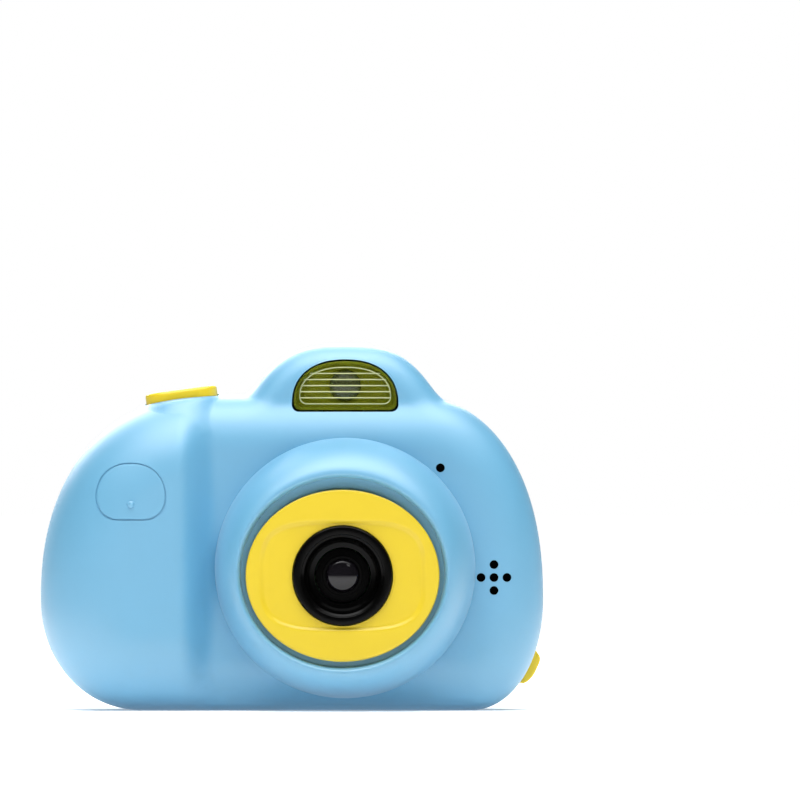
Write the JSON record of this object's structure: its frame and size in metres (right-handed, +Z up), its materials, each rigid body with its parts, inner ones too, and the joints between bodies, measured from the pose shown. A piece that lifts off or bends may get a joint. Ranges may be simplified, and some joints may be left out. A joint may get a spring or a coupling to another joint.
{
  "type": "kids digital camera",
  "caption": "Rounded toy camera: moulded shells with a grip and a flash hump, a large lens ring, a rear screen, a direction pad, press keys and a side flap over its sockets",
  "frame": {"origin": "on the table under the middle of the camera", "axes": "X to the right seen from the lens side (the grip is at -X), Y from the lens to the screen, Z up"},
  "size_m": [0.0856, 0.038, 0.0621],
  "materials": {
    "shell_blue": "satin moulded plastic",
    "yellow_plastic": "smooth satin",
    "black_plastic": "glossy black",
    "clear_window": "clear, slightly tinted",
    "dark_glass": "dark polished lens",
    "silver_reflector": "metallised plastic",
    "lamp_dark": "moulded lamp",
    "yellow_rubber": "soft matt rubber",
    "circuit_board": "lacquered board",
    "steel": "plated steel",
    "battery_wrap": "foil pouch",
    "foam": "adhesive foam",
    "display": "display module"
  },
  "bodies": {
    "camera": {"battery": "battery_wrap", "battery_pad": "foam", "board_screw_1": "steel", "board_screw_2": "steel", "board_screw_3": "steel", "board_screw_4": "steel", "camera_board": "circuit_board", "camera_screw_1": "steel", "camera_screw_2": "steel", "card_socket": "steel", "case_screw_left": "steel", "case_screw_right": "steel", "display_panel": "display", "dpad_down_switch": "black_plastic", "dpad_left_switch": "black_plastic", "dpad_right_switch": "black_plastic", "dpad_up_switch": "black_plastic", "flash_board": "circuit_board", "flash_led": "lamp_dark", "flash_reflector": "silver_reflector", "flash_window": "clear_window", "front_shell": "shell_blue", "grip_badge": "shell_blue", "lens_barrel": "black_plastic", "lens_element": "dark_glass", "lens_hood": "black_plastic", "lens_trim": "yellow_plastic", "main_board": "circuit_board", "microphone": "black_plastic", "mode_switch": "black_plastic", "port_cover_anchor": "yellow_rubber", "power_switch": "black_plastic", "rear_camera": "black_plastic", "rear_lens_window": "dark_glass", "rear_shell": "shell_blue", "screen_window": "black_plastic", "screw_plug_left": "shell_blue", "screw_plug_right": "shell_blue", "shutter_board": "circuit_board", "shutter_screw_1": "steel", "shutter_screw_2": "steel", "shutter_switch": "black_plastic", "speaker": "black_plastic", "status_led": "lamp_dark", "usb_socket": "steel"},
    "shutter": {"shutter_button": "yellow_plastic"},
    "mode_key": {"mode_button": "yellow_plastic"},
    "power_key": {"power_button": "yellow_plastic"},
    "pad_up": {"dpad_up_button": "yellow_plastic"},
    "pad_down": {"dpad_down_button": "yellow_plastic"},
    "pad_left": {"dpad_left_button": "yellow_plastic"},
    "pad_right": {"dpad_right_button": "yellow_plastic"},
    "port_flap": {"port_cover": "yellow_rubber"}
  },
  "joints": [
    {"name": "shutter_press", "type": "slide", "parent": "camera", "child": "shutter", "axis": [0.165, 0, -0.9863], "range_m": [0, 0.0008], "stiffness_N_per_m": 800},
    {"name": "mode_key_press", "type": "slide", "parent": "camera", "child": "mode_key", "axis": [0, -1, 0], "range_m": [0, 0.0005], "stiffness_N_per_m": 800},
    {"name": "power_key_press", "type": "slide", "parent": "camera", "child": "power_key", "axis": [0, -1, 0], "range_m": [0, 0.0005], "stiffness_N_per_m": 800},
    {"name": "pad_up_press", "type": "slide", "parent": "camera", "child": "pad_up", "axis": [0, -1, 0], "range_m": [0, 0.0005], "stiffness_N_per_m": 800},
    {"name": "pad_down_press", "type": "slide", "parent": "camera", "child": "pad_down", "axis": [0, -1, 0], "range_m": [0, 0.0005], "stiffness_N_per_m": 800},
    {"name": "pad_left_press", "type": "slide", "parent": "camera", "child": "pad_left", "axis": [0, -1, 0], "range_m": [0, 0.0005], "stiffness_N_per_m": 800},
    {"name": "pad_right_press", "type": "slide", "parent": "camera", "child": "pad_right", "axis": [0, -1, 0], "range_m": [0, 0.0005], "stiffness_N_per_m": 800},
    {"name": "port_flap_hinge", "type": "hinge", "parent": "camera", "child": "port_flap", "pos_m": [0.0417, 0.00915, 0.0323], "axis": [0, -1, 0], "range_deg": [0, 105]}
  ]
}
